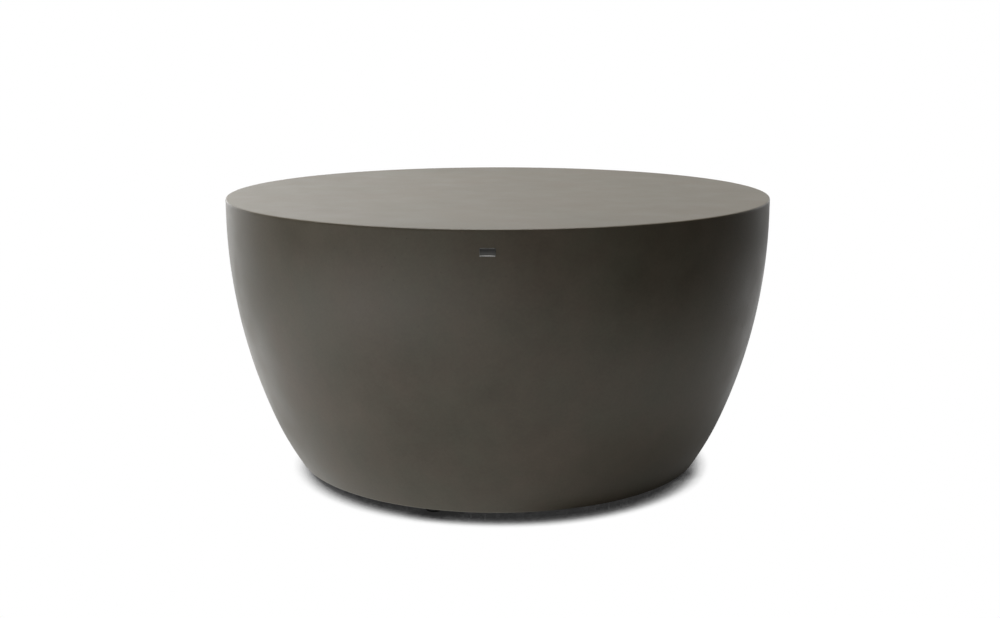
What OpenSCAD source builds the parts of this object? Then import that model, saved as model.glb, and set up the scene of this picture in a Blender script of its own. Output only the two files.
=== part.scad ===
// Round concrete coffee table: a one-piece bellied drum that stands on four screw levelling feet.
// Millimetres, +Z up. The origin is on the drum's axis at floor level, under the soles of the feet,
// with the feet screwed right in. The badge faces -Y.

/* [Overall size] */
// Diameter of the round top
top_d = 900; // [700:5:1200]
// Height of the casting, from its rim to its top face
shell_h = 447; // [400:1:520]
// Clear gap under the rim when the feet are screwed right in
ground_gap = 11; // [10:0.5:16]

/* [Wall curve] */
// Height of the upright band under the top face
band_h = 25; // [15:1:40]
// Radius of the long belly arc
belly_r = 884; // [750:1:1500]
// Radius of the tighter heel arc, which turns the wall in to the rim
heel_r = 468; // [380:1:700]
// Height above the rim at which the belly arc hands over to the heel arc
heel_h = 82; // [50:1:140]
// Rounding of the top edge
arris_r = 2.5; // [1.5:0.5:8]
// Length that the rim's outer chamfer takes off the wall and off the underside
rim_chamfer = 3; // [1:0.5:6]

/* [Casting] */
// Thickness of the wall
wall_t = 13; // [10:0.5:20]
// Thickness of the top slab, between its ribs
slab_t = 16; // [12:0.5:30]
// Size of the sloped cove between the wall and the slab
cove = 30; // [15:1:50]
// Width of the foot ring that turns in from the rim
ring_w = 76; // [60:1:110]
// Thickness of the foot ring at its free inner edge
ring_edge_t = 24; // [18:1:34]
// Rise of the foot ring's upper face, from its free edge to a point above the rim
ring_rise = 16; // [5:1:30]

/* [Ribs] */
// Number of ribs under the slab
rib_count = 6; // [3:1:12]
// Depth of the ribs and their hub below the slab
rib_h = 24; // [12:1:40]
// Width of a rib along its free edge
rib_w = 26; // [15:1:40]
// Diameter of the hub where the ribs meet, at its free face
hub_d = 150; // [100:5:240]
// Draft of the ribs, their hub and the foot ring's free edge, in degrees
draft = 10; // [2:1:20]

/* [Levelling feet] */
// Distance from the rim's outer edge in to a foot's axis
foot_inset = 32; // [28:1:40]
// Turn of the first foot from the badge, clockwise from above, in degrees
foot_turn = 17; // [0:1:45]
// How far each foot screws out
foot_travel = 15; // [5:1:25]
// Diameter of the round base
base_d = 25; // [22:0.5:36]
// Height of the base's lower edge above the floor
base_lift = 1; // [0.5:0.1:1.5]
// Thickness of the rubber sole
sole_t = 2.5; // [2:0.1:3]
// Width of the base's rim around the sole
sole_rim = 1.5; // [1:0.1:2.5]
// Thickness of the base's lip, which holds the stud's head down
lip_t = 2.5; // [1.5:0.1:3]

/* [Foot thread] */
// Diameter of the screw stud
stud_d = 10; // [8:0.5:12]
// Diameter of the stud's flat head
head_d = 15; // [14:0.5:17]
// Thickness of the stud's flat head
head_t = 2; // [1.5:0.1:2.5]
// Width across the stud's spanner flats
flats_w = 7; // [5:0.5:7.5]
// Chamfer on the stud's free end and on the insert's mouth
lead_in = 1; // [0.5:0.1:1.5]
// Length of thread that still holds when the foot is screwed right out
thread_hold = 12.7; // [8:0.1:20]

/* [Cast-in inserts] */
// Diameter of the insert's sleeve
sleeve_d = 17; // [15:0.5:20]
// Diameter of the insert's flange, flush with the rim
flange_d = 24; // [21:0.5:28]
// Thickness of the insert's flange
flange_t = 2; // [1:0.1:4]
// Closed end of the insert
insert_end = 2; // [1:0.1:3]
// Number of grip grooves round the sleeve
groove_count = 3; // [1:1:4]
// Width of a grip groove
groove_w = 2.5; // [1:0.1:3]
// Depth of a grip groove
groove_depth = 1; // [0.3:0.1:1.5]
// Concrete round and over the insert's end
mound_cover = 12; // [6:1:18]
// Slope of the mound's side from upright, in degrees
mound_slope = 35; // [15:1:50]

/* [Badge] */
// Width of the badge plate
badge_w = 22.5; // [16:0.5:60]
// Height of the badge plate
badge_h = 12; // [8:0.5:20]
// Thickness of the badge plate
badge_t = 1.8; // [1.2:0.1:3]
// How far the plate stands proud of the wall
badge_proud = 0.5; // [0.2:0.1:0.8]
// Depth of the badge's centre below the top face
badge_drop = 32; // [20:1:60]
// Width of the plate's flat border
border_w = 0.6; // [0.4:0.1:2]
// Depth of the sunk field inside the border, whose sides slope at 45 degrees
field_depth = 0.9; // [0.2:0.1:1]
// Rounding of the plate's corners
badge_corner_r = 0.8; // [0.4:0.1:2]
// Diameter of the two rear pins
pin_d = 2; // [1.5:0.1:3]
// Length of the rear pins
pin_l = 5; // [3:0.5:6]
// Distance between the rear pins
pin_pitch = 12; // [8:0.5:14]

/* [Clearances] */
// Radial clearance of the stud in its insert and in the base's lip
run_fit = 0.05; // [0.02:0.01:0.1]
// Clearance round the stud's captive head
head_fit = 0.2; // [0.1:0.05:0.3]
// Clearance at the stud's end when the foot is screwed right in
stop_fit = 0.3; // [0.1:0.1:1]
// Gap of glue round the badge plate and its pins
glue_fit = 0.2; // [0.1:0.05:0.4]

/* [Hidden] */

$fn = 72;
wide_fn = 360;           // segments round the drum and along its long arcs
over = 1;                // how far a cutting shape runs past what it cuts
feet = 4;
front_deg = -90;         // the badge's direction, and where the feet are counted from

// The wall's outer arcs share a tangent at heel_h. An inset keeps their centres and
// takes the same amount off both radii, so the inner skin runs parallel to the outer one.
top_r = top_d / 2;
widest_h = shell_h - band_h;
belly_x = top_r - belly_r;
turn_sin = (widest_h - heel_h) / belly_r;
turn_cos = sqrt(1 - turn_sin * turn_sin);
heel_x = belly_x + (belly_r - heel_r) * turn_cos;
heel_z = widest_h - (belly_r - heel_r) * turn_sin;
rim_r = heel_x + sqrt(heel_r * heel_r - heel_z * heel_z);
lean_sin = heel_z / heel_r;              // the wall's outward lean at the rim
lean_cos = (rim_r - heel_x) / heel_r;

mouth_r = rim_r - ring_w;
ring_slope = ring_rise / ring_w;
slab_z = shell_h - slab_t;

foot_r = rim_r - foot_inset;
sole_r = base_d / 2 - sole_rim;
head_z = sole_t + head_fit;
lip_z = head_z + head_t + head_fit;
base_top = lip_z + lip_t;
stud_top = ground_gap + foot_travel + thread_hold;
bore_end_z = stud_top + stop_fit;
insert_l = bore_end_z + insert_end - ground_gap;

badge_z = ground_gap + shell_h - badge_drop;
pocket_depth = badge_t - badge_proud;

function foot_angle(i) = front_deg - foot_turn - (i - 1) * 360 / feet;

module at_foot(i) {
    rotate([0, 0, foot_angle(i)])
        translate([foot_r, 0, 0])
            children();
}

// Half of the drum's upright section, taken in by inset all along the wall
module half_section(inset) {
    hand_over_z = widest_h - (belly_r - inset) * turn_sin;
    // Upright band
    translate([0, widest_h])
        square([top_r - inset, band_h]);
    // Belly
    intersection() {
        translate([belly_x, widest_h])
            circle(r = belly_r - inset, $fn = wide_fn * 2);
        translate([0, hand_over_z])
            square([top_r, widest_h - hand_over_z]);
    }
    // Heel
    intersection() {
        translate([heel_x, heel_z])
            circle(r = heel_r - inset, $fn = wide_fn * 2);
        translate([0, -over])
            square([top_r, hand_over_z + over]);
    }
}

// Outline of the drum without its hollow, with a rounded arris and a chamfered rim
module outer_section() {
    intersection() {
        half_section(0);
        union() {
            polygon([
                [0, 0],
                [rim_r - rim_chamfer, 0],
                [rim_r + rim_chamfer * lean_sin, rim_chamfer * lean_cos],
                [top_r + over, rim_chamfer * lean_cos],
                [top_r + over, shell_h - arris_r],
                [0, shell_h - arris_r]
            ]);
            square([top_r - arris_r, shell_h]);
            translate([top_r - arris_r, shell_h - arris_r])
                circle(r = arris_r);
        }
    }
}

// The hollow: open below through the foot ring, coved where the wall meets the slab
module hollow_section() {
    intersection() {
        half_section(wall_t);
        polygon([
            [0, -over],
            [mouth_r, -over],
            [mouth_r, 0],
            [mouth_r + ring_edge_t * tan(draft), ring_edge_t],
            [top_r, ring_edge_t + (top_r - mouth_r) * ring_slope],
            [top_r, slab_z - cove - wall_t],
            [top_r - wall_t - cove, slab_z],
            [0, slab_z]
        ]);
    }
}

// One rib, from the drum's axis out into the wall. Its drafted sides run on into the slab.
module rib() {
    free_x = rib_w / 2;
    root_x = free_x + (rib_h + over) * tan(draft);
    rotate([90, 0, 90])
        linear_extrude(top_r - wall_t / 2)
            polygon([
                [-free_x, slab_z - rib_h],
                [free_x, slab_z - rib_h],
                [root_x, slab_z + over],
                [-root_x, slab_z + over]
            ]);
}

module ribs() {
    for (i = [0 : rib_count - 1])
        rotate([0, 0, front_deg + (i + 0.5) * 360 / rib_count])
            rib();
    translate([0, 0, slab_z - rib_h])
        cylinder(h = rib_h + over, r1 = hub_d / 2, r2 = hub_d / 2 + (rib_h + over) * tan(draft),
            $fn = wide_fn);
}

// Mound of concrete that is packed over the insert's upper end, on top of the foot ring
module insert_mound() {
    base_z = ring_edge_t - over;
    mound_h = insert_l + mound_cover - base_z;
    crown_r = sleeve_d / 2 + mound_cover;
    translate([0, 0, base_z])
        cylinder(h = mound_h, r1 = crown_r + mound_h * tan(mound_slope), r2 = crown_r);
}

// The insert's outside, from the rim upwards. It is also the cavity that it leaves in the concrete.
module insert_outside() {
    sleeve_r = sleeve_d / 2;
    groove_step = (insert_l - flange_t) / (groove_count + 1);
    difference() {
        union() {
            cylinder(h = insert_l, r = sleeve_r);
            cylinder(h = flange_t, r = flange_d / 2);
        }
        for (i = [1 : groove_count])
            translate([0, 0, flange_t + i * groove_step - groove_w / 2])
                difference() {
                    cylinder(h = groove_w, r = sleeve_r + over);
                    translate([0, 0, -over])
                        cylinder(h = groove_w + 2 * over, r = sleeve_r - groove_depth);
                }
    }
}

// A plate outline in X and Z with round corners, extruded towards -Y from y = 0
module rounded_plate(w, h, t, r) {
    rotate([90, 0, 0])
        linear_extrude(t)
            union() {
                square([w - 2 * r, h], center = true);
                square([w, h - 2 * r], center = true);
                for (x = [-1, 1], z = [-1, 1])
                    translate([x * (w / 2 - r), z * (h / 2 - r)])
                        circle(r = r);
            }
}

// Pocket for the badge, with a flat floor and two pin holes
module badge_pocket() {
    translate([0, pocket_depth - top_r, badge_z]) {
        rounded_plate(badge_w + 2 * glue_fit, badge_h + 2 * glue_fit, pocket_depth + over,
            badge_corner_r + glue_fit);
        for (x = [-1, 1])
            translate([x * pin_pitch / 2, pin_l + glue_fit, 0])
                rotate([90, 0, 0])
                    cylinder(h = pin_l + glue_fit + over / 2, r = pin_d / 2 + glue_fit);
    }
}

module shell() {
    color([0.42, 0.41, 0.38])
        difference() {
            translate([0, 0, ground_gap])
                difference() {
                    union() {
                        rotate_extrude($fn = wide_fn)
                            difference() {
                                outer_section();
                                hollow_section();
                            }
                        ribs();
                        for (i = [1 : feet])
                            at_foot(i) insert_mound();
                    }
                    for (i = [1 : feet])
                        at_foot(i) insert_outside();
                }
            badge_pocket();
        }
}

// The sunk field: it widens at 45 degrees from its floor to the plate's front, and on past it
module badge_field() {
    floor_w = badge_w - 2 * (border_w + field_depth);
    floor_h = badge_h - 2 * (border_w + field_depth);
    floor_r = badge_corner_r / 2;
    grow = field_depth + over;
    hull() {
        rounded_plate(floor_w, floor_h, grow, floor_r, $fn = 32);
        translate([0, -grow, 0])
            rounded_plate(floor_w + 2 * grow, floor_h + 2 * grow, over, floor_r + grow, $fn = 32);
    }
}

module badge_plate() {
    color([0.62, 0.62, 0.6])
        translate([0, pocket_depth - top_r, badge_z]) {
            difference() {
                rounded_plate(badge_w, badge_h, badge_t, badge_corner_r);
                translate([0, field_depth - badge_t, 0]) badge_field();
            }
            for (x = [-1, 1])
                translate([x * pin_pitch / 2, pin_l, 0])
                    rotate([90, 0, 0])
                        cylinder(h = pin_l + over / 2, r = pin_d / 2);
        }
}

module foot_insert(i) {
    bore_r = stud_d / 2 + run_fit;
    color([0.75, 0.68, 0.45])
        at_foot(i)
            difference() {
                translate([0, 0, ground_gap]) insert_outside();
                translate([0, 0, ground_gap - over])
                    cylinder(h = bore_end_z - ground_gap + over, r = bore_r);
                translate([0, 0, ground_gap - over])
                    cylinder(h = over + lead_in, r1 = bore_r + lead_in + over, r2 = bore_r);
            }
}

module foot_stud(i) {
    stud_r = stud_d / 2;
    color([0.72, 0.73, 0.74])
        at_foot(i)
            difference() {
                union() {
                    translate([0, 0, head_z])
                        cylinder(h = head_t, r = head_d / 2);
                    translate([0, 0, head_z])
                        cylinder(h = stud_top - lead_in - head_z, r = stud_r);
                    translate([0, 0, stud_top - lead_in])
                        cylinder(h = lead_in, r1 = stud_r, r2 = stud_r - lead_in);
                }
                for (side = [0, 180])
                    rotate([0, 0, side])
                        translate([flats_w / 2, -stud_r, base_top])
                            cube([stud_r, stud_d, ground_gap - base_top]);
            }
}

module foot_base(i) {
    base_r = base_d / 2;
    edge = lip_t / 2;
    color([0.07, 0.07, 0.07])
        at_foot(i)
            rotate_extrude()
                polygon([
                    [stud_d / 2 + run_fit, lip_z],
                    [head_d / 2 + head_fit, lip_z],
                    [head_d / 2 + head_fit, sole_t],
                    [sole_r, sole_t],
                    [sole_r, base_lift],
                    [base_r - sole_rim / 3, base_lift],
                    [base_r, base_lift + sole_rim / 3],
                    [base_r, base_top - 2 * edge],
                    [base_r - edge / 3, base_top - edge],
                    [base_r - edge, base_top - edge / 3],
                    [base_r - 2 * edge, base_top],
                    [stud_d / 2 + run_fit, base_top]
                ]);
}

module foot_sole(i) {
    bevel = base_lift / 2;
    color([0.12, 0.12, 0.12])
        at_foot(i) {
            cylinder(h = bevel, r1 = sole_r - bevel, r2 = sole_r);
            translate([0, 0, bevel])
                cylinder(h = sole_t - bevel, r = sole_r);
        }
}

shell();
badge_plate();
foot_insert(1);  // foot_insert_1
foot_insert(2);  // foot_insert_2
foot_insert(3);  // foot_insert_3
foot_insert(4);  // foot_insert_4
foot_stud(1);  // foot_stud_1
foot_stud(2);  // foot_stud_2
foot_stud(3);  // foot_stud_3
foot_stud(4);  // foot_stud_4
foot_base(1);  // foot_base_1
foot_base(2);  // foot_base_2
foot_base(3);  // foot_base_3
foot_base(4);  // foot_base_4
foot_sole(1);  // foot_sole_1
foot_sole(2);  // foot_sole_2
foot_sole(3);  // foot_sole_3
foot_sole(4);  // foot_sole_4
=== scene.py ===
# %% [markdown]
# This script dresses a round coffee table for a patio. The table is one hollow concrete casting: a flat
# round top and a bellied wall without a seam. It stands on four small levelling feet that screw into its
# rim, and a little metal badge is let into the wall under the top's edge.
#
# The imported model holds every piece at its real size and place, in metres, with +Z up, the floor at z = 0
# and the badge facing -Y. Each new surface below is worked out inside those sizes and then stands for the
# plain node of the same piece.

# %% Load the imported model
import math

import bmesh
import bpy
import numpy as np
from mathutils import Matrix, Vector


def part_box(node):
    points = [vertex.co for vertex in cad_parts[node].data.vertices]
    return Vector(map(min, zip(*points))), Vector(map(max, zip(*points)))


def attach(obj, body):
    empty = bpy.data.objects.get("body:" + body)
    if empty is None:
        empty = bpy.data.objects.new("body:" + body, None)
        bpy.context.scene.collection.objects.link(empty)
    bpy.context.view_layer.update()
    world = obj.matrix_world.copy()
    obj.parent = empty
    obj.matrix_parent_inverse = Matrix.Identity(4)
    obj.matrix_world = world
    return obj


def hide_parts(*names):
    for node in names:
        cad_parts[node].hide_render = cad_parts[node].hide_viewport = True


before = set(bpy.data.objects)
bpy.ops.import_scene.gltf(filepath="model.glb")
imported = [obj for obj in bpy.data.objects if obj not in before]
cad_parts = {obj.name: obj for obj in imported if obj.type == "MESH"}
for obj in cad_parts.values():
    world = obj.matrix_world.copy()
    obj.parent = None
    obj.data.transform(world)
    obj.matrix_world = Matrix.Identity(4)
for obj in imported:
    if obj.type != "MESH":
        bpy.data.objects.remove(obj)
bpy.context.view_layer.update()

# %% [markdown]
# The camera stands a little to the right of the badge and a good way back, and looks slightly down. Its
# numbers were found by fitting the top's ellipse, both sides of the wall and the rim to the photograph.
# Blender's camera looks along its own -Z with +Y up, so to_track_quat turns a direction into a rotation,
# which saves working out three angles by hand.

# %% Camera
camera_side = math.radians(-88.3)  # direction from the table's axis to the camera
camera_run = 2.2838  # how far out from the axis
camera_aside = 0.0036  # how far to the right of that direction
camera_height = 0.7144
camera_pitch = math.radians(11.315)  # how far it looks down
camera_roll = math.radians(-0.044)
camera_lens = 48.967  # in millimetres, like the width of the sensor
camera_sensor = 36.0

away = Vector((math.cos(camera_side), math.sin(camera_side), 0))
right = Vector((-away.y, away.x, 0))
look = Vector((0, 0, -math.sin(camera_pitch))) - away * math.cos(camera_pitch)
turn = look.to_track_quat("-Z", "Y").to_matrix() @ Matrix.Rotation(camera_roll, 3, "Z")
spot = away * camera_run + right * camera_aside + Vector((0, 0, camera_height))

camera = bpy.data.objects.new("camera", bpy.data.cameras.new("camera"))
camera.data.sensor_width = camera_sensor
camera.data.lens = camera_lens
camera.matrix_world = Matrix.Translation(spot) @ turn.to_4x4()
bpy.context.scene.collection.objects.link(camera)
bpy.context.scene.camera = camera
print("camera at", [round(c, 3) for c in spot])

# %% [markdown]
# Nearly every piece here is a profile that is turned round an axis. A bevel modifier could round its
# corners, but it works on edges and leaves a hard start and end to each round. Here the profile itself is
# softened before it is turned: it is drawn with sharp corners and then averaged along its length, which is
# also what casting and polishing do to a corner.

# %% Lines: running length and even points
def running(line):
    """Length run along a line of points, 0 at the first: the sum of the distances between neighbours."""
    steps = np.linalg.norm(np.diff(line, axis=0), axis=1)
    return np.concatenate([[0.0], np.cumsum(steps)])


def evenly(corners, pitch):
    """The same line with points at most `pitch` apart: each coordinate is interpolated over the run."""
    corners = np.asarray(corners, float)
    run = running(corners)
    at = np.linspace(0.0, run[-1], int(run[-1] / pitch) + 2)
    return np.column_stack([np.interp(at, run, axis) for axis in corners.T])


print("25 mm in steps under 10 mm:", evenly([(0, 0), (0.025, 0)], 0.010)[:, 0].round(4))

# %% Soft corners, and points that crowd round them
def soften(line, at, width, closed=False):
    """Points of an evenly spaced line at the runs `at`, each an average of the points near it.

    A point at distance d along the line has the weight exp(-(d / width)² / 2). A straight stays as it is,
    and a square corner is cut back as far as by a round of radius 1.36 widths. On a closed line d goes the
    short way.
    """
    run = running(line)
    gap = at[:, None] - run[None, :]
    if closed:
        gap = ((gap + run[-1] / 2) % run[-1] - run[-1] / 2)[:, :-1]
        line = line[:-1]
    weight = np.exp(-0.5 * (gap / np.reshape(width, (-1, 1))) ** 2)
    return weight @ line / weight.sum(axis=1, keepdims=True)


def stations(length, corners, tight, wide, growth=0.4):
    """Runs along a line, close together at its corners and wide apart on its straights.

    The step at a run is tight + growth × the distance to a corner, but at most wide. A station stands
    wherever the sum of 1 / step over the run passes a whole number.
    """
    at = np.linspace(0.0, length, 8001)
    near = np.abs(at[:, None] - np.reshape(corners, (1, -1)))
    step = np.minimum((tight + growth * near).min(axis=1), wide)
    pairs = 0.5 * (1 / step[1:] + 1 / step[:-1]) * np.diff(at)
    count = np.concatenate([[0.0], np.cumsum(pairs)])
    return np.interp(np.linspace(0.0, count[-1], round(count[-1]) + 1), count, at)


def run_of(line, point):
    """Run at which an evenly spaced line passes nearest to a point."""
    return running(line)[np.argmin(np.linalg.norm(line - np.asarray(point), axis=1))]


def smooth_step(value, low, high):
    """0 below low, 1 above high, and 3t² - 2t³ between, which starts and ends level."""
    t = np.clip((value - low) / (high - low), 0.0, 1.0)
    return t * t * (3 - 2 * t)


cut_back = np.linalg.norm(soften(evenly([(-9, 0), (0, 0), (0, -9)], 0.01), np.array([9.0]), 1.0))
print("width 1 cuts a corner back like a radius of", round(cut_back / (math.sqrt(2) - 1), 2))

# %% [markdown]
# A grid of points becomes a mesh in one step. Each cell of the grid is a four-sided face, and the columns
# always go round. A profile that starts and ends on the axis would leave hundreds of points on one spot
# there, so those rows shrink to one point with a fan of triangles. A ring's rows close on themselves.
# With the profile running outwards and down, and the columns counter-clockwise from above, every face
# points out.

# %% Grids to closed meshes
def skin(name, grid, ring=False):
    """A closed mesh over grid[row, column], faces out. With ring the rows close, else they end in poles."""
    rows, columns = grid.shape[:2]
    if ring:
        points = grid.reshape(-1, 3)
        here = np.arange(rows * columns).reshape(rows, columns)
        here = np.vstack([here, here[:1]])
    else:
        points = np.vstack([grid[:1, 0], grid[1:-1].reshape(-1, 3), grid[-1:, 0]])
        here = 1 + np.arange((rows - 2) * columns).reshape(rows - 2, columns)
    beside = np.roll(here, -1, axis=1)
    faces = np.stack([here[:-1], here[1:], beside[1:], beside[:-1]], axis=-1).reshape(-1, 4).tolist()
    if not ring:
        start = np.zeros(columns, int)
        end = start + len(points) - 1
        faces += np.column_stack([start, here[0], beside[0]]).tolist()
        faces += np.column_stack([here[-1], end, beside[-1]]).tolist()
    mesh = bpy.data.meshes.new(name)
    mesh.from_pydata(points.tolist(), [], faces)
    mesh.update()
    return mesh


def around(radius, angle, height, centre=(0, 0)):
    """Points at a radius, angle and height about the upright axis through `centre`."""
    x = centre[0] + radius * np.cos(angle)
    y = centre[1] + radius * np.sin(angle)
    return np.stack([x, y, height + 0 * angle], axis=-1)


def turned(name, outline, centre=(0, 0), columns=48, ring=False):
    """A profile of (radius, height) pairs turned round the upright axis through `centre`."""
    angle = np.arange(columns) * 2 * np.pi / columns
    return skin(name, around(outline[:, :1], angle, outline[:, 1:], centre), ring)

# %% [markdown]
# A mesh counts as a piece once it hangs from its body's empty and the plain node it stands for is hidden.
# Smooth shading hides its facets, and edges that really are sharp are found by their angle.

# %% Soft outlines and finished pieces
def rounded(corners, tight, width, wide, closed=False):
    """A drawn outline with every corner softened by `width`, sampled closely round its corners."""
    corners = np.asarray(corners, float)
    line = evenly(corners, tight / 4)
    length = running(line)[-1]
    at = stations(length, [run_of(line, c) for c in corners], tight, wide)
    soft = soften(line, at[:-1] if closed else at, width, closed)
    if not closed:
        soft[[0, -1]] = corners[[0, -1]]
    return soft


def add_piece(name, mesh, body, node, sharp=35):
    """Links a finished mesh as a piece that rides on its body and stands for its node.

    Faces are shaded smoothly, except across edges that turn by more than `sharp` degrees.
    """
    mesh.shade_smooth()
    mesh.set_sharp_from_angle(angle=math.radians(sharp))
    piece = bpy.data.objects.new(name, mesh)
    bpy.context.scene.collection.objects.link(piece)
    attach(piece, body)
    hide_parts(node)
    return piece


def tell(piece):
    """Prints a piece's triangles, and how many of its edges don't lie between just two faces."""
    mesh = piece.data
    mesh.calc_loop_triangles()
    uses = np.zeros(len(mesh.loops), np.int32)
    mesh.loops.foreach_get("edge_index", uses)
    odd = int((np.bincount(uses, minlength=len(mesh.edges)) != 2).sum())
    print(f"{piece.name}: {len(mesh.loop_triangles)} triangles, {odd} odd edges")

# %% [markdown]
# Under the smooth top the real table is a thin shell of glass-fibre concrete, open below. Its wall falls
# upright from the top's edge, swells down in one long arc and turns in to the rim in a tighter one. The two
# arcs share a tangent, so no crease shows where they meet. Because both are circles, the wall's radius at
# any height is one square root, and the inner skin is the same formula with the thickness taken off.

# %% Sizes of the casting
low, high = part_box("shell")
rim_z = low.z
top_z = high.z
top_r = high.x

band_h = 0.025  # upright band under the top
belly_r = 0.884
heel_r = 0.468
heel_h = 0.082  # height above the rim where belly and heel meet
wall_t = 0.013
slab_t = 0.016
cove = 0.030  # slope between the wall and the slab
ring_w = 0.076  # foot ring that turns in from the rim
ring_edge_t = 0.024
ring_rise = 0.016
rim_chamfer = 0.003
draft = math.radians(10)

widest_z = top_z - band_h
slab_z = top_z - slab_t
turn_sin = (widest_z - rim_z - heel_h) / belly_r
turn_cos = math.sqrt(1 - turn_sin ** 2)
belly_x = top_r - belly_r
heel_x = belly_x + (belly_r - heel_r) * turn_cos
heel_z = widest_z - (belly_r - heel_r) * turn_sin


def wall_radius(z, inset=0.0):
    """Radius of the wall at the heights z, or of a skin that lies `inset` inside it.

    Each arc is centre + sqrt(radius² - (z - centre height)²). Above the widest height the belly's height
    difference is held at 0, which makes the band upright.
    """
    z = np.asarray(z, float)
    belly = belly_x + np.sqrt((belly_r - inset) ** 2 - np.minimum(z - widest_z, 0.0) ** 2)
    heel = heel_x + np.sqrt((heel_r - inset) ** 2 - (z - heel_z) ** 2)
    return np.where(z > widest_z - (belly_r - inset) * turn_sin, belly, heel)


rim_r = float(wall_radius(rim_z))
mouth_r = rim_r - ring_w
print(f"rim {2 * rim_r:.3f} m across, opening below {2 * mouth_r:.3f} m across")

# %% [markdown]
# The section goes once round the concrete, from the middle of the top to the middle of the slab's
# underside: top, arris, wall, rim, foot ring, inner wall, cove and slab. The inner wall is only drawn
# between the ring below it and the cove above it, so both corners find their own place. Each corner has
# its own softness: the arris is a small even round, as the photograph shows, and the corners inside are
# wider, because concrete is packed there by hand.

# %% Section of the casting, with its corners softened
edge_r = mouth_r + ring_edge_t * math.tan(draft)
edge_z = rim_z + ring_edge_t
chamfer_z = rim_z + rim_chamfer * (rim_r - heel_x) / heel_r
cove_r = top_r - wall_t - cove
section_pitch = 0.00025
row_gap = 0.013  # widest gap between two rows of points

outer_z = np.linspace(widest_z, chamfer_z, 400)
outer_wall = np.column_stack([wall_radius(outer_z), outer_z])
inner_z = np.linspace(edge_z, slab_z, 4000)  # close, to end near the ring and the cove
inner_r = wall_radius(inner_z, wall_t)
above_ring = inner_r < edge_r + (inner_z - edge_z) * ring_w / ring_rise
below_cove = inner_r + inner_z < cove_r + slab_z
inner_wall = np.column_stack([inner_r, inner_z])[above_ring & below_cove]

section = evenly(np.vstack([
    [(0, top_z), (top_r, top_z)],
    outer_wall,
    [(rim_r - rim_chamfer, rim_z), (mouth_r, rim_z), (edge_r, edge_z)],
    inner_wall,
    [(cove_r, slab_z), (0, slab_z)],
]), section_pitch)

hub_r = 0.077  # middle of the drafted side of the hub that joins the ribs
corner_places = [
    (top_r, top_z), outer_wall[-1], (rim_r - rim_chamfer, rim_z), (mouth_r, rim_z), (edge_r, edge_z),
    inner_wall[0], inner_wall[-1], (cove_r, slab_z), (hub_r, slab_z),
]
corner_steps = np.array([0.5, 0.7, 0.7, 0.9, 1.4, 2.6, 3.4, 3.4, 1.1]) * 0.001
corner_widths = np.array([1.84, 0.8, 0.8, 1.2, 2.0, 4.0, 6.0, 6.0, 1.0]) * 0.001
corner_runs = np.array([run_of(section, place) for place in corner_places])

rows_at = stations(running(section)[-1], corner_runs, corner_steps, row_gap)
rows = soften(section, rows_at, np.interp(rows_at, corner_runs, corner_widths))
rows[[0, -1]] = section[[0, -1]]
print(len(rows), "rows of points along the section")

# %% [markdown]
# Six ribs and a round hub stiffen the slab from below, and where the wall must carry a foot, a mound of
# concrete is heaped over the insert. These could be boxes merged in with a Boolean, but that leaves a
# knife-sharp seam, which no casting has. So the underside is pushed down or up as a relief, like a height
# map, and the grid's columns follow the ribs: over the slab they keep their distance from each rib's
# middle, and down the inner wall they turn back to equal angles.

# %% Columns of the grid, which follow the ribs under the slab
rib_count = 6
rib_mid = 0.0151  # from the rib's middle line to the middle of its drafted side
rib_side = 0.0042  # width of that side, seen from below
rib_h = 0.024
beside_w = 0.023  # the columns follow a rib up to this distance from its middle
beside_steps = (0.0007, 0.004)  # their gap at the rib's side, and their widest gap
turn_z = (0.30, 0.38)  # heights over which they turn from equal angles to the ribs
half_columns = 30  # columns from a rib's middle to half way to the next
half_angle = math.pi / rib_count
badge_angle = -math.pi / 2
rib_angles = badge_angle + (np.arange(rib_count) + 0.5) * 2 * half_angle

beside_rib = stations(beside_w, [rib_mid], *beside_steps)
near = np.arcsin(beside_rib / np.maximum(rows[:, :1], hub_r))
share = np.linspace(0, 1, half_columns + 2 - len(beside_rib))[1:]
far = near[:, -1:] + share * (half_angle - near[:, -1:])
follow = np.hstack([near, far])
equal = np.linspace(0, half_angle, half_columns + 1)

inside_run = corner_runs[4]
ribbed = smooth_step(rows[:, 1], *turn_z) * (rows_at > inside_run)
half = equal + ribbed[:, None] * (follow - equal)
sector = np.hstack([-half[:, :0:-1], half[:, :-1]])
angle = (rib_angles[None, :, None] + sector[:, None, :]).reshape(len(rows), -1)
print(angle.shape[1], "columns round the casting")

# %% Points of the casting
badge_low, badge_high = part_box("badge_plate")
badge_z = (badge_low.z + badge_high.z) / 2
feet = (1, 2, 3, 4)


def middle(node):
    """Middle of a node's box, as x and y."""
    lowest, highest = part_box(node)
    return np.array([(lowest.x + highest.x) / 2, (lowest.y + highest.y) / 2])


radius, height = rows[:, :1], rows[:, 1:]
grid = around(radius, angle, height)
x, y = grid[..., 0].copy(), grid[..., 1].copy()

along = np.gradient(rows, axis=0)
along /= np.linalg.norm(along, axis=1, keepdims=True)
out_r, out_z = -along[:, 1:], along[:, :1]
outward = around(out_r, angle, out_z)
print(f"badge {badge_z:.3f} m above the floor")

# %% [markdown]
# No mould is quite even, and a face packed by hand is less so. A Displace modifier would also bend the
# edges that other pieces fit. Here each point moves inwards by a sum of slow waves, so the casting never
# grows, and the waves die out round the badge and towards the rim.

# %% Slow swell of the surface
smooth_face = 0.00025  # unevenness of the faces that lay against the mould
smooth_waves = (0.15, 0.32)  # its shortest and its longest wave
rough_face = 0.0009  # unevenness of the faces that were packed by hand
rough_waves = (0.045, 0.12)
fade_run = 0.04  # length of the section over which either fades
badge_clear = 0.05  # distance from the badge over which it fades


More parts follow.
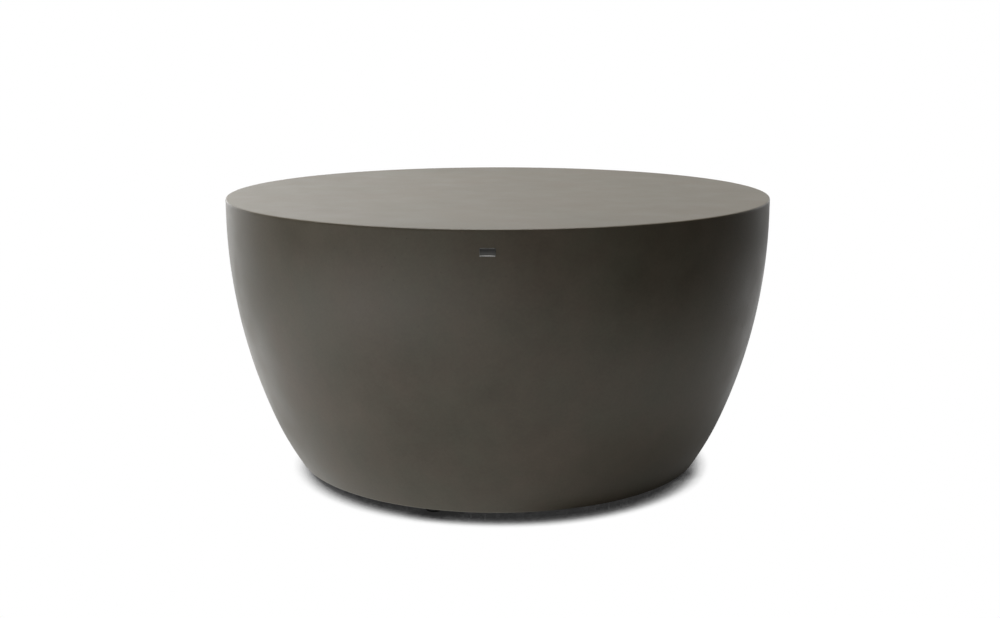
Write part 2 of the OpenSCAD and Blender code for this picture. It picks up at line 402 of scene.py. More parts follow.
def swell(points, shortest, longest, seed, waves=7):
    """A slow unevenness from 0 to 1: the average of sine waves that run through space.

    Each wave has a direction, a length between the two given and a phase, all drawn from the seed.
    """
    draw = np.random.default_rng(seed)
    direction = draw.normal(size=(3, waves))
    direction /= np.linalg.norm(direction, axis=0)
    length = draw.uniform(shortest, longest, waves)
    phase = points @ (direction * 2 * np.pi / length) + draw.uniform(0, 2 * np.pi, waves)
    return 0.5 + 0.5 * np.sin(phase).mean(axis=-1)


depth = np.interp(rows_at, [corner_runs[1] - fade_run, corner_runs[1]], [smooth_face, 0])[:, None]
to_badge = np.linalg.norm(grid - np.array([0, -top_r, badge_z]), axis=-1)
depth = depth * (1 - np.exp(-(to_badge / badge_clear) ** 2)) * swell(grid, *smooth_waves, seed=3)
packed = np.interp(rows_at, [inside_run, inside_run + fade_run], [0, rough_face])[:, None]
depth = depth + packed * swell(grid, *rough_waves, seed=4)
grid -= outward * depth[..., None]
print(f"the swell takes off up to {depth.max() * 1000:.2f} mm")

# %% [markdown]
# The relief is a share between 0 and 1: 1 on a rib's free face, 0 off the rib, and a smooth step over its
# side, just wide enough to be as steep as the real draft. Ribs and hub are joined with
# 1 - (1 - a)(1 - b), which leaves a soft fillet where two of them meet. A smooth maximum then settles
# which surface shows, the rib or the cove, and the ring or the mound.

# %% Ribs, hub and mounds
fillet = 0.004  # softness where a rib leaves the slab or a mound the ring
fillet_end = 0.03  # a mound this far under the ring's face softens nothing
slab_from = 0.36  # ribs and hub change only what is above this height
ring_to = 0.2  # mounds change only what is below this one
crown_t = 0.012  # concrete over an insert
crown_r = 0.0205  # radius of a mound's flat top
mound_slope = math.radians(35)  # from upright


def over_zero(value, softness):
    """The positive part of a value with its kink smoothed: (v + sqrt(v² + s²)) / 2."""
    return 0.5 * (value + np.sqrt(value ** 2 + softness ** 2))


# each line through the middle holds two ribs, and off is 1 away from all of them
side = 1.5 * rib_side
across = np.abs(y[..., None] * np.cos(rib_angles[:3]) - x[..., None] * np.sin(rib_angles[:3]))
off = smooth_step(across, rib_mid - side / 2, rib_mid + side / 2).prod(axis=-1)
ribs = 1 - off * smooth_step(np.hypot(x, y), hub_r - side / 2, hub_r + side / 2)
inside = (rows_at > inside_run)[:, None]
under_slab = slab_z - grid[..., 2]
blend_w = np.clip(under_slab, 0, fillet) * ribs
drop = over_zero(rib_h * ribs - under_slab, blend_w)
grid[..., 2] -= np.where(inside & (height > slab_from), drop, 0)

crown_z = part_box("foot_insert_1")[1].z + crown_t
to_foot = np.min([np.hypot(x - c[0], y - c[1]) for c in (middle(f"foot_insert_{i}") for i in feet)], axis=0)
mound_z = crown_z - np.maximum(to_foot - crown_r, 0) / math.tan(mound_slope)
over_ring = mound_z - grid[..., 2]
lift = over_zero(over_ring, fillet * np.clip(1 + over_ring / fillet_end, 0, 1))
grid[..., 2] += np.where(inside & (height < ring_to), lift, 0)
casting_mesh = skin("casting", grid)
print("casting:", len(casting_mesh.vertices), "points before its holes are cut")

# %% [markdown]
# The badge sits in a pocket and the feet's inserts in holes. Those edges really are crisp, so here a
# Boolean is the right tool. One cutting mesh holds all five shapes, and the result is kept as a plain mesh,
# because a live Boolean would be worked out again for every view.

# %% Sizes of the inserts and the badge
sleeve_r = 0.0085
flange_r = 0.012
flange_t = 0.002
groove_r = sleeve_r - 0.001
groove_w = 0.0025
insert_low, insert_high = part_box("foot_insert_1")
insert_l = insert_high.z - insert_low.z
groove_step = (insert_l - flange_t) / 4

badge_w = badge_high.x - badge_low.x
badge_h = badge_high.z - badge_low.z
badge_front = badge_low.y
badge_t = 0.0018
glue = 0.0002
pin_r = 0.001
pin_x = 0.006
pin_end = badge_high.y
print(f"badge {badge_w * 1000:.1f} mm by {badge_h * 1000:.1f} mm, inserts {insert_l * 1000:.1f} mm long")

# %% Outlines and solids of the small pieces
def sleeve_line(flange):
    """Outline of an insert with its grooves, from the top of its sleeve down to its flange."""
    line = [(0, insert_high.z), (sleeve_r, insert_high.z)]
    for i in (3, 2, 1):
        groove_z = insert_low.z + flange_t + i * groove_step
        for r, side in ((sleeve_r, 1), (groove_r, 1), (groove_r, -1), (sleeve_r, -1)):
            line.append((r, groove_z + side * groove_w / 2))
    line += [(sleeve_r, insert_low.z + flange_t), (flange, insert_low.z + flange_t)]
    return line


def rectangle_ring(width, height, radius, per_corner=7):
    """x and z round a rectangle with round corners, counter-clockwise as seen from the front.

    Each corner is its centre plus radius × (cos, sin) of an angle that goes through a quarter turn.
    """
    quarter = np.linspace(0, np.pi / 2, per_corner)
    angle = (np.arange(4)[:, None] * np.pi / 2 + quarter).ravel()
    centre_x = np.repeat([1, -1, -1, 1], per_corner) * (width / 2 - radius)
    centre_z = np.repeat([1, 1, -1, -1], per_corner) * (height / 2 - radius)
    return centre_x + radius * np.cos(angle), centre_z + radius * np.sin(angle)


def plate(name, rings):
    """A plate at the badge's place, lofted through rings of (width, height, corner radius, y).

    It is closed at the front and at the back with a point in the middle.
    """
    loops = []
    for width, tall, radius, y in rings:
        x, z = rectangle_ring(width, tall, radius)
        loops.append(np.column_stack([x, 0 * x + y, badge_z + z]))
    ends = [np.tile([0, ring[3], badge_z], (len(x), 1)) for ring in (rings[0], rings[-1])]
    return skin(name, np.stack([ends[0], *loops, ends[1]]))

# %% Cutting and joining
def merged(name, meshes):
    """One mesh that holds the given ones, unchanged."""
    gathered = bmesh.new()
    for mesh in meshes:
        gathered.from_mesh(mesh)
    whole = bpy.data.meshes.new(name)
    gathered.to_mesh(whole)
    gathered.free()
    return whole


def cut_or_join(mesh, other, operation):
    """The mesh after a Boolean with the other one, worked out once and kept as a plain mesh."""
    pair = [bpy.data.objects.new(mesh.name, mesh), bpy.data.objects.new("other", other)]
    for item in pair:
        bpy.context.scene.collection.objects.link(item)
    boolean = pair[0].modifiers.new("boolean", "BOOLEAN")
    boolean.operation = operation
    boolean.object = pair[1]
    boolean.solver = "MANIFOLD"
    seen = pair[0].evaluated_get(bpy.context.evaluated_depsgraph_get())
    result = bpy.data.meshes.new_from_object(seen)
    for item, used in zip(pair, (mesh, other)):
        bpy.data.objects.remove(item)
        bpy.data.meshes.remove(used)
    return result


def with_pins(mesh, r, front, back):
    """The mesh joined with two rods of radius r along Y, each a turned mesh laid down on its side."""
    for x in (-pin_x, pin_x):
        rod = turned("rod", np.array([(0, -front), (r, -front), (r, -back), (0, -back)]), columns=24)
        rod.transform(Matrix.Translation((x, 0, badge_z)) @ Matrix.Rotation(math.pi / 2, 4, "X"))
        mesh = cut_or_join(mesh, rod, "UNION")
    return mesh

# %% Casting with its holes
past_rim = 0.002  # how far the holes' cutters reach out below the rim
pocket_corner = 0.001
pocket_mouth = badge_front - 0.001  # in the air before the wall
pocket_back = badge_front + badge_t
overlap = 0.0005  # of a pin's hole with the pocket

hole_line = sleeve_line(flange_r) + [(flange_r, insert_low.z - past_rim), (0, insert_low.z - past_rim)]
cutters = [turned("hole", np.array(hole_line), middle(f"foot_insert_{i}")) for i in feet]
pocket_rings = [
    (badge_w + 2 * glue, badge_h + 2 * glue, pocket_corner, y) for y in (pocket_mouth, pocket_back)
]
pocket = with_pins(plate("pocket", pocket_rings), pin_r + glue, pocket_back - overlap, pin_end + glue)
casting_mesh = cut_or_join(casting_mesh, merged("cutter", cutters + [pocket]), "DIFFERENCE")
casting = add_piece("casting", casting_mesh, "table", "shell")
tell(casting)

# %% [markdown]
# A material only knows the inside of the shell, or its worn edges, if the mesh marks them. Two numbers per
# point do that: "inside" is 1 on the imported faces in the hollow, and "edge" is 1 along the arris and the
# rim, where handling rubs concrete a little lighter. Both follow from where the point lies in the section,
# so they fit after the cuts as well.

# %% Marks for the casting's finish
def points_of(mesh):
    """All points of a mesh as an array of x, y and z."""
    flat = np.zeros(len(mesh.vertices) * 3, np.float32)
    mesh.vertices.foreach_get("co", flat)
    return flat.reshape(-1, 3).astype(float)


def store(mesh, name, values):
    """Keeps one number per point on the mesh, for its material to read."""
    mark = mesh.attributes.new(name, "FLOAT", "POINT")
    mark.data.foreach_set("value", np.asarray(values, np.float32))


inside_from = (0.004, 0.010)  # depths under the wall's face where the inside begins
rub_w = 0.004  # how far the rubbing reaches from an edge

where = points_of(casting_mesh)
reach = np.hypot(where[:, 0], where[:, 1])
skin_depth = wall_radius(where[:, 2]) - reach
hidden = smooth_step(skin_depth, *inside_from) * (where[:, 2] < top_z - slab_t / 2)
to_arris = np.hypot(reach - top_r, where[:, 2] - top_z)
to_rim = np.hypot(reach - rim_r, where[:, 2] - rim_z)
rubbed = np.exp(-(np.minimum(to_arris, to_rim) / rub_w) ** 2)
store(casting_mesh, "inside", hidden)
store(casting_mesh, "edge", rubbed)
print(f"{hidden.mean():.0%} of the points lie inside, {(rubbed > 0.5).mean():.0%} on an edge")

# %% [markdown]
# The badge is a thin metal plate with a sunk field inside a narrow border. Below and above, the sides of
# the field slope, so the lower one faces up and shows as the brightest line of the badge. Its two ends are
# steep and hardly show. The loft follows one small profile of distance from the plate's edge and depth,
# softened like all the others, and turns it into rings of rounded rectangles. The field is left bare.

# %% Badge
border = 0.0009
outer_bevel = 0.00025
field_depth = 0.0009
end_slope = 0.3  # how far the field's ends reach in for each step of its long sides
corner_r = 0.0008
least_corner = 0.0002
flat_inset = badge_h / 4
pin_root = 0.0003  # how far a pin starts inside the plate

badge_line = rounded([
    (flat_inset, field_depth), (border + field_depth, field_depth), (border, 0), (outer_bevel, 0),
    (0, outer_bevel), (0, badge_t), (flat_inset, badge_t),
], tight=0.00006, width=0.00005, wide=0.0006)
badge_rings = []
for inset, depth in badge_line:
    end_inset = min(inset, border + end_slope * (inset - border))
    ring_corner = max(corner_r - inset, least_corner)
    badge_rings.append((badge_w - 2 * end_inset, badge_h - 2 * inset, ring_corner, badge_front + depth))
badge_mesh = plate("badge", badge_rings)
badge_mesh = with_pins(badge_mesh, pin_r, badge_front + badge_t - pin_root, pin_end)
badge = add_piece("badge", badge_mesh, "table", "badge_plate", sharp=50)
where = points_of(badge_mesh)
sunk = (where[:, 1] > badge_front + 0.8 * field_depth) & (where[:, 1] < badge_front + 1.2 * field_depth)
within = np.abs(where[:, 0]) < badge_w / 2 - border
store(badge_mesh, "field", sunk & within)
tell(badge)

# %% [markdown]
# A levelling foot has four pieces. A brass insert is cast into the rim, a zinc-plated M10 stud screws
# into it, and the stud's flat head is held in a black nylon base with a rubber sole pressed in below. All
# but the stud are plain turned profiles, and the base is a ring, because the stud passes through it.

# %% Inserts
bore_r = 0.00505
bore_end = insert_high.z - 0.002
lead_in = 0.001
flange_out = flange_r - 0.00015  # a little clear of its hole
insert_line = sleeve_line(flange_out) + [
    (flange_out, insert_low.z), (bore_r + lead_in, insert_low.z),
    (bore_r, insert_low.z + lead_in), (bore_r, bore_end), (0, bore_end),
]
insert_round = rounded(insert_line, tight=0.0003, width=0.0001, wide=0.003)


def on_each_foot(name, body, node, shape, sharp=35):
    """The same piece at all four feet. shape makes its mesh round the middle of its node."""
    made = []
    for i in feet:
        mesh = shape(middle(f"{node}_{i}"))
        made.append(add_piece(f"{name}_{i}", mesh, body.format(i), f"{node}_{i}", sharp))
    tell(made[0])
    return made


inserts = on_each_foot(
    "insert", "table", "foot_insert", lambda centre: turned("insert", insert_round, centre)
)

# %% [markdown]
# The stud carries a real thread, because it shows when a foot is screwed out. A Screw modifier could sweep
# one tooth along a helix, but its ends stay open. Here the thread is part of the surface itself: the radius
# drops with the distance from the nearest crest. It is a right-hand thread, so going round
# counter-clockwise the crest climbs, one pitch for each turn. Two flats for a spanner are cut the same way,
# with radius = half the width over flats / |cos|.

# %% Studs
pitch = 0.0015
thread_depth = 0.00092
stud_r = 0.005
flat_half = 0.0035
head_low, stud_high = (corner.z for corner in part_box("foot_stud_1"))
head_t = 0.002
head_high = head_low + head_t
head_r = 0.0075
flats_low, flats_high = 0.0074, rim_z
nick = 0.00005  # tiny step that keeps an edge sharp
crest, root = 1 / 8, 1 / 4  # shares of the pitch that are flat
stud_columns = 48
steps_per_pitch = 8


def thread_cut(z, angle):
    """Depth cut into the stud at a height and angle.

    The phase is height / pitch less angle / full turn. Its distance from the crest, 0 to 1, maps to a flat
    crest, a straight flank and a flat root. The cut fades out at the lower end.
    """
    phase = (z / pitch - angle / (2 * np.pi)) % 1.0
    off_crest = np.abs(2 * phase - 1)
    flank = np.clip((off_crest - crest) / (1 - crest - root), 0, 1)
    return thread_depth * flank * smooth_step(z, flats_high, flats_high + pitch)

# %% Surface of a stud
def stud(centre):
    """The stud as rows from its upper end down to its head. One flat faces away from the table's axis."""
    facing = math.atan2(centre[1], centre[0])
    angle = np.arange(stud_columns) * 2 * np.pi / stud_columns
    thread_z = np.arange(stud_high, flats_high, -pitch / steps_per_pitch)
    shank = np.column_stack([np.full(len(thread_z), stud_r), thread_z])
    lower = [
        (stud_r, flats_high), (stud_r, flats_high - nick), (stud_r, flats_low + nick), (stud_r, flats_low),
        (stud_r, head_high), (head_r - nick, head_high), (head_r, head_high - nick), (head_r, head_low),
        (0, head_low),
    ]
    outline = np.vstack([[(0, stud_high), (stud_r - lead_in, stud_high)], shank[1:], lower])
    r = np.repeat(outline[:, :1], stud_columns, axis=1)
    z = outline[:, 1:]
    threaded = (z > flats_high) & (r > 0)
    chamfer = np.minimum(stud_r, stud_r - lead_in + stud_high - z)
    r = np.where(threaded, np.minimum(r - thread_cut(z, angle), chamfer), r)
    flats = (z < flats_high) & (z > flats_low)
    slant = np.maximum(np.abs(np.cos(angle - facing)), 0.01)
    r = np.where(flats, np.minimum(r, flat_half / slant), r)
    return skin("screw", around(r, angle, z, centre))


studs = on_each_foot("screw", "stud_{}", "foot_stud", stud, sharp=28)

# %% Bases and soles
base_low, base_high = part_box("foot_base_1")
base_r = (base_high.x - base_low.x) / 2
base_top = base_high.z
base_foot = base_low.z
sole_low, sole_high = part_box("foot_sole_1")
sole_r = (sole_high.x - sole_low.x) / 2
sole_t = sole_high.z
play = 0.0002  # between the stud's head and the base
room_r, room_z = head_r + play, head_high + play
lip_r = stud_r + 0.00005
step = 0.00125  # half the width and half the height of the base's shoulder
bevel = 0.0005

base_line = [
    (lip_r, base_top), (base_r - 2 * step, base_top), (base_r - step, base_top - step / 3),
    (base_r - step / 3, base_top - step), (base_r, base_top - 2 * step), (base_r, base_foot + bevel),
    (base_r - bevel, base_foot), (sole_r, base_foot), (sole_r, sole_t), (room_r, sole_t),
    (room_r, room_z), (lip_r, room_z), (lip_r, base_top),
]
sole_line = [(0, sole_t), (sole_r, sole_t), (sole_r, bevel), (sole_r - bevel, 0), (0, 0)]
base_round = rounded(base_line, tight=0.00025, width=0.00012, wide=0.0015, closed=True)
sole_round = rounded(sole_line, tight=0.00025, width=0.00015, wide=0.002)
bases = on_each_foot(
    "base", "foot_{}", "foot_base",
    lambda centre: turned("base", base_round, centre, columns=72, ring=True),
)
soles = on_each_foot(
    "sole", "foot_{}", "foot_sole",
    lambda centre: turned("sole", sole_round, centre, columns=72),
)

# %% [markdown]
# Materials are built from nodes. One small function fills or links a node's inputs, and another makes the
# node and sets its properties, so each finish reads as a short list. Patterns read Object coordinates, in
# metres in the table's own frame: a noise of scale 20 has clouds about 50 mm wide. A colour or number that
# is the same all over stays on the shader's own socket.

# %% Nodes and materials
def fill(material, node, inputs):
    """Gives a node's sockets, by name or number, a value or a link to another node's output."""
    for key, value in inputs.items():
        if isinstance(value, bpy.types.NodeSocket):
            material.node_tree.links.new(value, node.inputs[key])
        else:
            node.inputs[key].default_value = value


def add_node(material, kind, inputs, **settings):
    """A node of this kind with its inputs and its properties."""
    made = material.node_tree.nodes.new(kind)
    for key, value in settings.items():
        setattr(made, key, value)
    fill(material, made, inputs)
    return made


def new_material(name):
    """A material with a Principled shader."""
    material = bpy.data.materials.new(name)
    material.use_nodes = True
    return material


def coat(material, **sockets):
    """Fills the shader's sockets, named with _ for a space."""
    shader = material.node_tree.nodes["Principled BSDF"]
    fill(material, shader, {key.replace("_", " "): value for key, value in sockets.items()})


def dress(pieces, material):
    """Gives the pieces this material in place of their plain one."""
    for piece in pieces:
        piece.data.materials.clear()
        piece.data.materials.append(material)

# %% Numbers and places in a material
def maths(material, operation, *values):
    """Result of one operation on numbers or outputs."""
    return add_node(material, "ShaderNodeMath", dict(enumerate(values)), operation=operation).outputs[0]


def weigh(material, value, factor, rest):
    """value × factor + rest, where rest is a number or another output."""
    return maths(material, "MULTIPLY_ADD", value, factor, rest)


def spread(material, value, low, high, to_low, to_high, curve="LINEAR"):
    """value from low..high stretched to to_low..to_high, held at the ends."""
    inputs = {"Value": value, "From Min": low, "From Max": high, "To Min": to_low, "To Max": to_high}
    return add_node(material, "ShaderNodeMapRange", inputs, interpolation_type=curve).outputs["Result"]


def coordinates(material, scale=(1, 1, 1)):
    """Object coordinates, stretched by the given scale on x, y and z."""
    place = add_node(material, "ShaderNodeTexCoord", {})
    inputs = {"Vector": place.outputs["Object"], "Scale": scale}
    return add_node(material, "ShaderNodeMapping", inputs).outputs["Vector"]


def coordinate(material, axis):
    """One Object coordinate, "X", "Y" or "Z", in metres."""
    return add_node(material, "ShaderNodeSeparateXYZ", {0: coordinates(material)}).outputs[axis]


def marked(material, name):
    """The number that the mesh keeps for each point under this name."""
    return add_node(material, "ShaderNodeAttribute", {}, attribute_name=name).outputs["Fac"]

# %% Patterns, colours and bump
def noise(material, scale, detail=2.0, roughness=0.5, stretch=(1, 1, 1)):
    """Cloud pattern from 0 to 1 with features about 1 / (scale × stretch) metres wide."""
    place = coordinates(material, stretch)
    inputs = {"Vector": place, "Scale": scale, "Detail": detail, "Roughness": roughness}
    return add_node(material, "ShaderNodeTexNoise", inputs).outputs["Fac"]


def between(material, share, first, second, blend="MIX"):
    """Colour that goes from the first to the second with the share, or their product with MULTIPLY."""
    inputs = {0: share, 6: first, 7: second}
    mixed = add_node(material, "ShaderNodeMix", inputs, data_type="RGBA", blend_type=blend)
    return mixed.outputs[2]


def bumped(material, height, distance, under=None):
    """Normal that follows a height pattern of 0 to 1, `distance` metres deep."""
    inputs = {"Height": height, "Distance": distance}
    if under is not None:
        inputs["Normal"] = under
    return add_node(material, "ShaderNodeBump", inputs).outputs["Normal"]


def mottled(name, pattern, colours, roughness, relief, depth, **sockets):
    """A material whose colour and roughness follow one noise, and its bump another, `depth` metres deep."""
    material = new_material(name)
    blots = noise(material, **pattern)
    coat(
        material, **sockets,
        Base_Color=between(material, blots, *colours),
        Roughness=spread(material, blots, 0.3, 0.7, *roughness),
        Normal=bumped(material, noise(material, **relief), depth),
    )
    return material

# %% [markdown]
# The concrete is warm dark grey with soft clouds: patches of 20 to 80 mm that are slightly lighter or
# darker, and slower drifts towards brown or olive. It is sealed, so it has a satin sheen that turns
# bright where it is seen edge-on, as along both sides of the wall and over the whole top. The top's clouds
# are half as strong, because it was polished. Fine sand grain is bump only, and a few pin holes are bumped
# and carry painted shade, darker at their middle. Inside, the imported face is lighter, duller and coarser.

# %% Colour of the concrete
concrete_dark = (0.128, 0.110, 0.079, 1)
concrete_light = (0.172, 0.150, 0.113, 1)
cool_tint = (0.955, 1.0, 0.955, 1)
warm_tint = (1.045, 0.988, 0.965, 1)
packed_colour = (0.235, 0.222, 0.198, 1)
polished = (top_z - 0.003, top_z - 0.0005)  # heights over which the clouds fade to half

concrete = new_material("sealed_concrete")
inside_mark = marked(concrete, "inside")
evened = spread(concrete, coordinate(concrete, "Z"), *polished, 1.0, 0.5)
cloud = weigh(concrete, weigh(concrete, noise(concrete, 15, 4, 0.6), 1.0, -0.5), evened, 0.5)
speckle = noise(concrete, 240, 2, 0.6)
edge_mark = marked(concrete, "edge")
tone = -0.95
for part, share in ((noise(concrete, 4.5, 3), 0.8), (cloud, 1.6), (speckle, 0.5), (edge_mark, 0.15)):
    tone = weigh(concrete, part, share, tone)
colour = between(concrete, tone, concrete_dark, concrete_light)
hue = weigh(concrete, weigh(concrete, noise(concrete, 7, 5, 0.72), 1.0, -0.5), evened, 0.5)
hue = spread(concrete, hue, 0.36, 0.64, 0, 1)
tint = between(concrete, hue, cool_tint, warm_tint)
colour = between(concrete, 1.0, colour, tint, "MULTIPLY")
colour = between(concrete, inside_mark, colour, packed_colour)
print("colour:", len(concrete.node_tree.nodes), "nodes")

# %% Pores, sheen and bump of the concrete
pore_scale = 85.0  # a pore about every 12 mm
pore_size = (0.03, 0.07)  # where its side starts and ends, as shares of that
# painted shade: the colour that pin holes darken to, as if shadowed inside
pore_shade_colour = (0.05, 0.045, 0.04, 1)
pore_depth = 0.0004
grain_depth = 0.00005
speckle_depth = (0.00006, 0.0006)  # outside and inside

inputs = {"Vector": coordinates(concrete), "Scale": pore_scale}
pores = add_node(concrete, "ShaderNodeTexVoronoi", inputs).outputs["Distance"]
pores = spread(concrete, pores, *pore_size, 0, 1)
# the pin holes get painted shade, darkest at their middle
colour = between(concrete, spread(concrete, pores, 0, 1, 0.45, 0), colour, pore_shade_colour)
dull = spread(concrete, cloud, 0.35, 0.65, 0.36, 0.44)
dull = weigh(concrete, inside_mark, 0.25, dull)
normal = bumped(concrete, noise(concrete, 900, 3, 0.6), grain_depth)
normal = bumped(concrete, speckle, spread(concrete, inside_mark, 0, 1, *speckle_depth), normal)
normal = bumped(concrete, pores, pore_depth, normal)
coat(concrete, IOR=1.5, Base_Color=colour, Roughness=dull, Normal=normal)
dress([casting], concrete)
print("in all:", len(concrete.node_tree.nodes), "nodes")

# %% [markdown]
# The metals differ in how they were worked. The badge is brushed along its length, which is a noise drawn
# out 40 times along x. Its sunk field is darkened, and the lower part of the plate is painted lighter than
# the upper, as light from below. The insert was turned from brass bar, so its fine marks lie in rings. The
# stud is zinc plated, which leaves a slightly mottled, bluish satin.

# %% Metals
border_colours = (0.19, 0.187, 0.178, 1), (0.31, 0.305, 0.293, 1)  # darker above, and painted lighter below as light from below
field_colours = (0.07, 0.07, 0.066, 1), (0.20, 0.197, 0.188, 1)
painted_light_z = (badge_z - 0.2 * badge_h, badge_z + 0.35 * badge_h)  # painted light from below fades out between these heights

steel = new_material("brushed_steel")
strokes = noise(steel, 1.0, 3, 0.6, stretch=(300, 12000, 12000))
field_mark = marked(steel, "field")
# painted light: the plate turns lighter towards its bottom, standing in for light from below
painted_light_below = spread(steel, coordinate(steel, "Z"), *painted_light_z, 1, 0)
brushing_and_painted_light = weigh(steel, strokes, 0.2, weigh(steel, painted_light_below, 0.8, 0.0))
bright = between(steel, brushing_and_painted_light, *border_colours)
# the sunk field gets the same painted light from below, with fine blotches
painted_light_below = weigh(steel, noise(steel, 700), 0.4, weigh(steel, painted_light_below, 1.0, -0.2))
dark = between(steel, painted_light_below, *field_colours)
coat(
    steel, Metallic=1.0,
    Base_Color=between(steel, field_mark, bright, dark),
    Roughness=weigh(steel, field_mark, 0.15, spread(steel, strokes, 0.3, 0.7, 0.26, 0.38)),
    Normal=bumped(steel, strokes, 0.000006),
)
dress([badge], steel)

brass = mottled(
    "turned_brass", dict(scale=260, detail=3, roughness=0.6),
    colours=((0.58, 0.44, 0.21, 1), (0.78, 0.63, 0.36, 1)), roughness=(0.42, 0.28),
    relief=dict(scale=1.0, stretch=(200, 200, 9000)), depth=0.00001, Metallic=1.0,
)
dress(inserts, brass)
zinc = mottled(
    "zinc_plated_steel", dict(scale=420, detail=3, roughness=0.6),
    colours=((0.56, 0.58, 0.60, 1), (0.68, 0.68, 0.67, 1)), roughness=(0.42, 0.3),
    relief=dict(scale=2500), depth=0.000008, Metallic=1.0,
)
dress(studs, zinc)
print("metals:", steel.name, brass.name, zinc.name)

# %% [markdown]
# Black nylon from a mould has a fine even texture and a soft sheen. Rubber is duller, and a sole that
# stands outdoors gathers a little pale dust in its pores.

# %% Nylon and rubber
nylon = mottled(
    "moulded_nylon", dict(scale=120, detail=3),
    colours=((0.010, 0.010, 0.010, 1), (0.016, 0.016, 0.015, 1)), roughness=(0.45, 0.56),
    relief=dict(scale=1800), depth=0.00003, IOR=1.53,
)
dress(bases, nylon)
dust = dict(scale=300, detail=4, roughness=0.7)
rubber = mottled(
    "dusty_rubber", dust,
    colours=((0.014, 0.014, 0.014, 1), (0.032, 0.031, 0.029, 1)), roughness=(0.72, 0.86),
    relief=dust, depth=0.00004, IOR=1.5,
)
dress(soles, rubber)
print("materials:", ", ".join(m.name for m in bpy.data.materials if m.users))

# %% [markdown]
# The floor of a product photograph is white paper, burnt out to pure white apart from a tight shadow round
# the rim. More light would burn out the table too, so to the camera the paper glows white by itself, and
# the glow dims where the table hides its light. Ambient occlusion measures that: the share of directions
# that run free for 45 mm. Its normal leans to the back left, where the light comes from, so the shadow
# falls towards the front right.
#
# For every other ray the paper glows by place, because it lights the wall from below: bright on the left
# and behind the table, where the studio's lamps stand, dim on the right and towards the camera, and dark
# under the table. Each patch faces one way from the table, lies between two of the rings and fades out
# softly. The same shadow falls on this glow, but only from the middle to the right: there the wall ends
# dark above its rim, while on the left it stays light down to the edge.

# %% Floor
floor_r = 7.0
floor_t = 0.1  # thick, so that no ray of the occlusion reaches its underside
floor_rings = [0, 0.3, 0.6, 1.2, 2.5, floor_r]
floor_line = np.array([(r, 0) for r in floor_rings] + [(floor_r, -floor_t), (0, -floor_t)])
floor = bpy.data.objects.new("floor", turned("floor", floor_line, columns=64))
bpy.context.scene.collection.objects.link(floor)
print(f"floor {2 * floor_r:.0f} m across")

# %% Shadow on the paper
shadow_reach = 0.045  # how far the table's shadow reaches over the paper
shadow_lean = 0.8  # how far the occlusion leans, as a slope
shadow_from = 110  # direction it leans to, in degrees from +X
shadow_span = (0.29, 0.64)  # free shares at which the shadow is full and at which it ends
shadow_level = 0.02  # glow in the middle of the shadow


def compass(degrees):
    """Level unit vector at an angle from +X, seen from above."""
    return Vector((math.cos(math.radians(degrees)), math.sin(math.radians(degrees)), 0))


paper = bpy.data.materials.new("paper")
paper.use_nodes = True
paper.node_tree.nodes.clear()
leaning = (compass(shadow_from) * shadow_lean + Vector((0, 0, 1))).normalized()
lean = add_node(paper, "ShaderNodeCombineXYZ", dict(enumerate(leaning))).outputs[0]
inputs = {"Distance": shadow_reach, "Normal": lean}
free = add_node(paper, "ShaderNodeAmbientOcclusion", inputs, samples=16).outputs["AO"]
shadow = spread(paper, free, *shadow_span, shadow_level, 1.0, "SMOOTHSTEP")
print("the occlusion leans", round(math.degrees(math.atan(shadow_lean))), "degrees from upright")

# %% Where the paper glows
patch_power = 4.0  # a patch is half as bright 33 degrees aside
rings = {  # distances from the table's axis over which a patch fades in or out
    "rim": (0.318, 0.335),
    "close": (0.42, 0.62),
    "near": (0.9, 1.2),
    "far": (1.8, 2.4),
    "end": (floor_r - 1, floor_r),
}
patches = [  # direction from above in degrees, where it starts and ends, and its level
    (180, "rim", "near", 0.73),
    (225, "rim", "near", 0.39),
    (225, "near", "far", 1.80),
    (270, "rim", "far", 0.32),
    (315, "close", "near", 0.32),
    (0, "close", "near", 0.15),
    (0, "rim", "close", 0.19),
    (45, "close", "far", 0.63),
    (90, "close", "end", 1.14),
    (135, "close", "end", 1.09),
]
print(len(patches), "patches of glow between", len(rings), "rings")

# %% Glow of the paper
def lobe(material, direction, axis, power):
    """Share of 0 to 1 for how nearly a unit direction follows an axis: its cosine, raised to a power."""
    cosine = add_node(material, "ShaderNodeVectorMath", {0: direction, 1: axis}, operation="DOT_PRODUCT")
    return maths(material, "POWER", maths(material, "MAXIMUM", cosine.outputs["Value"], 0.0), power)


shadow_side = (0.0, 0.16)  # from this x to that one, the shadow comes to dim the glow too

place = coordinates(paper)
outwards = add_node(paper, "ShaderNodeVectorMath", {0: place}, operation="NORMALIZE").outputs["Vector"]
distance = add_node(paper, "ShaderNodeVectorMath", {0: place}, operation="LENGTH").outputs["Value"]
beyond = {name: spread(paper, distance, *ring, 0.0, 1.0, "SMOOTHSTEP") for name, ring in rings.items()}
glow_level = 0.0
for side, starts, ends, level in patches:
    between_rings = weigh(paper, beyond[ends], -1.0, beyond[starts])
    aimed = lobe(paper, outwards, compass(side), patch_power)
    glow_level = weigh(paper, maths(paper, "MULTIPLY", between_rings, aimed), level, glow_level)
on_right = spread(paper, coordinate(paper, "X"), *shadow_side, 0.0, 1.0, "SMOOTHSTEP")
dimming = weigh(paper, weigh(paper, shadow, 1.0, -1.0), on_right, 1.0)
lit = maths(paper, "MULTIPLY", glow_level, dimming)
rays = add_node(paper, "ShaderNodeLightPath", {}).outputs
inputs = {0: rays["Is Camera Ray"], 2: lit, 3: shadow}
seen = add_node(paper, "ShaderNodeMix", inputs, data_type="FLOAT").outputs[0]
glow = add_node(paper, "ShaderNodeEmission", {"Strength": seen}).outputs[0]
add_node(paper, "ShaderNodeOutputMaterial", {"Surface": glow})
floor.data.materials.append(paper)
print("paper:", len(paper.node_tree.nodes), "nodes")

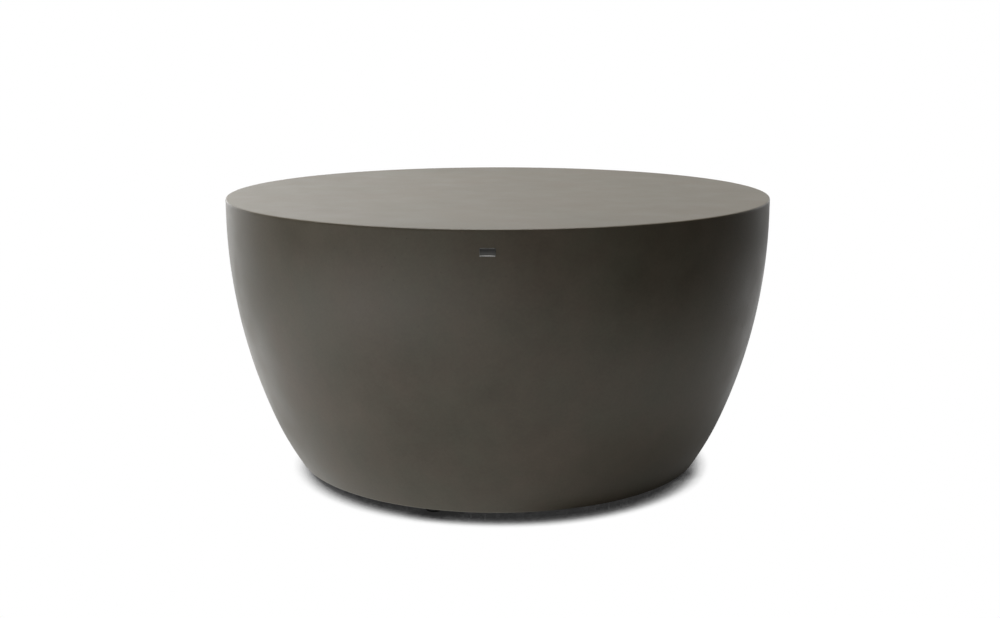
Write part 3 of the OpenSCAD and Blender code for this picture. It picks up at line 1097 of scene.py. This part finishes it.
# %% [markdown]
# Behind the table the paper runs up into a pale wall. The camera looks along the top at about seven
# degrees, so the top mirrors that wall, which is brighter at the left and gives the top its slow fall in
# tone. The world holds the wall as three soft lights near the horizon, and the room behind the camera is
# dark: sealed concrete mirrors about 4 % of what it faces, and the right of the drum is darker than that
# share of white. Only the camera, and rays through something clear, see a white room.

# %% World
wall_power = 16.0  # a light is half as bright 17 degrees aside
wall_lights = [(60, 1.45), (90, 0.65), (120, 3.47)]  # direction from above in degrees, and level

world = bpy.data.worlds.new("studio")
bpy.context.scene.world = world
world.use_nodes = True
world.node_tree.nodes.clear()
facing = add_node(world, "ShaderNodeTexCoord", {}).outputs["Generated"]
total = 0.0
for side, level in wall_lights:
    total = weigh(world, lobe(world, facing, compass(side), wall_power), level, total)
rays = add_node(world, "ShaderNodeLightPath", {}).outputs
seen = maths(world, "MAXIMUM", rays["Is Camera Ray"], rays["Is Transmission Ray"])
strength = add_node(world, "ShaderNodeMix", {0: seen, 2: total, 3: 1.0}, data_type="FLOAT").outputs[0]
sky = add_node(world, "ShaderNodeBackground", {"Color": (1, 1, 1, 1), "Strength": strength})
add_node(world, "ShaderNodeOutputWorld", {"Surface": sky.outputs[0]})
print(len(wall_lights), "lights in the world")

# %% [markdown]
# One large softbox hangs over the table, a little to the left and to the back. It is wider than the table,
# so it leaves no bright spot on the top, as a small lamp would. The wall gets little of its light, which is
# why the light from the floor counts.

# %% Lamp
lamp_place = Vector((-0.3, 0.3, 2.6))
lamp_aim = Vector((0, 0, 0.4))
lamp_side = 2.2
lamp_power = 68.0  # in watts, over the whole square

softbox = bpy.data.lights.new("overhead", "AREA")
softbox.size = lamp_side
softbox.energy = lamp_power
lamp = bpy.data.objects.new("overhead", softbox)
lamp_turn = (lamp_aim - lamp_place).to_track_quat("-Z", "Y").to_matrix().to_4x4()
lamp.matrix_world = Matrix.Translation(lamp_place) @ lamp_turn
lamp.visible_camera = False
bpy.context.scene.collection.objects.link(lamp)
print(f"softbox {lamp_side} m square, {(lamp_aim - lamp_place).length:.2f} m from the top")

# %% [markdown]
# Last comes the colour setting. Nothing here may change the table's size.

# %% Colour setting
bpy.context.scene.view_settings.view_transform = "Standard"
